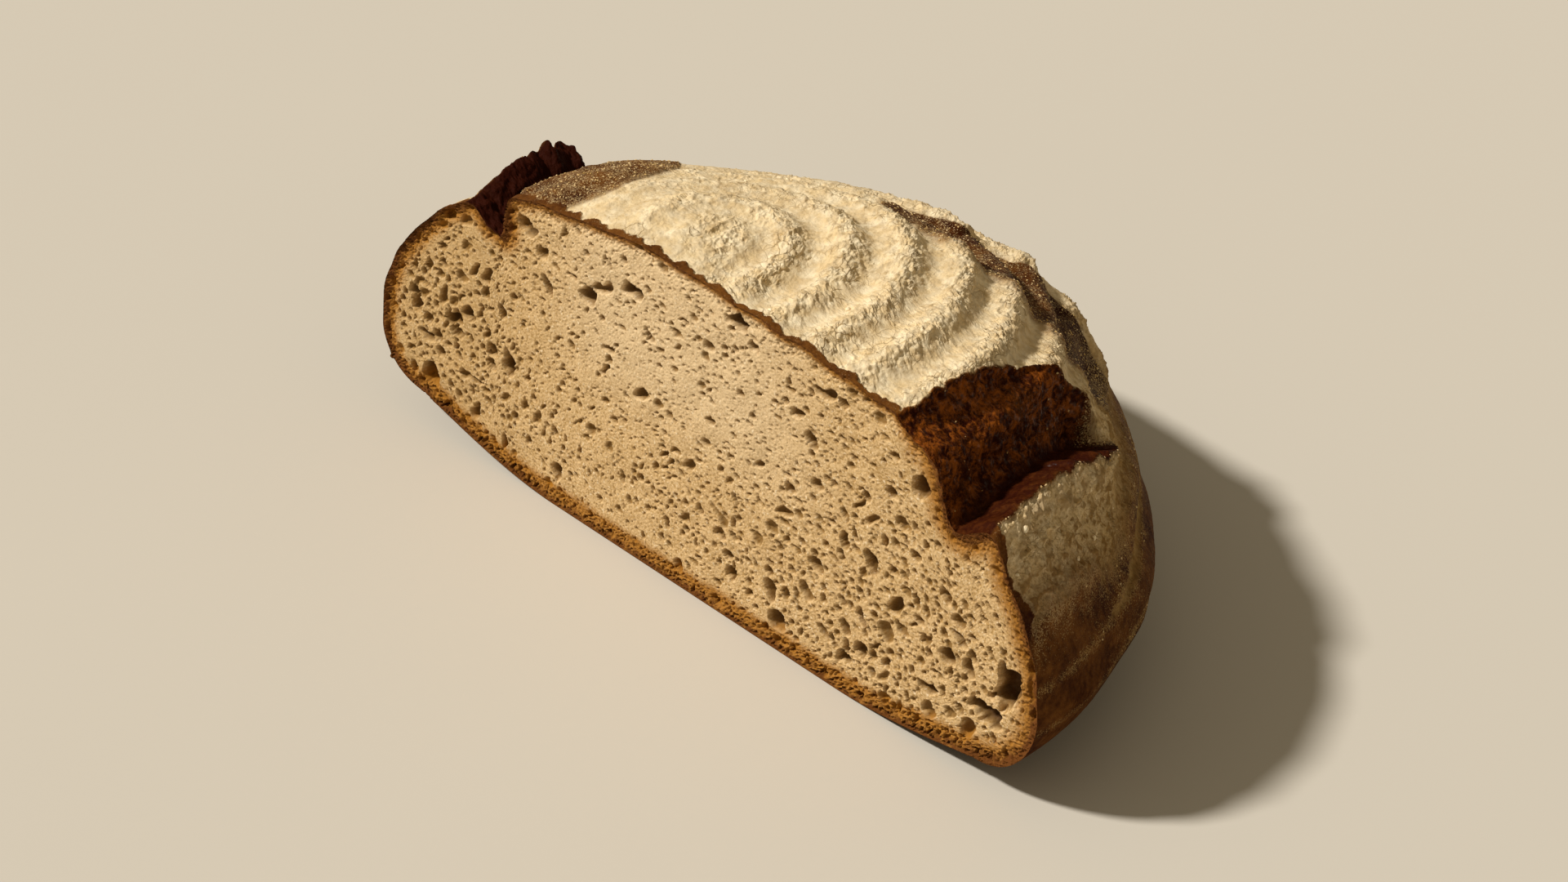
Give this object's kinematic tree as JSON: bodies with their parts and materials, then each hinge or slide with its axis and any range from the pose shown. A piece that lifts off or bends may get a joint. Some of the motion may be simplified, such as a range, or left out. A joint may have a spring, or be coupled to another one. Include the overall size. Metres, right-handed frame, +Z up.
{
  "type": "sourdough half loaf",
  "caption": "Half of a round crusty sourdough loaf, cut straight through, with a domed ridged crust, torn scores and an open crumb.",
  "frame": {"origin": "centre of the footprint's box, at the height of the surface the loaf stands on", "axes": "+Z up, +X along the cut face, the cut face looks along -Y and the crust is behind it"},
  "size_m": [0.2506, 0.1218, 0.1067],
  "materials": {
    "crust": "matte floured brown crust over an open beige crumb"
  },
  "bodies": {
    "root": {"loaf": "crust"}
  },
  "joints": []
}
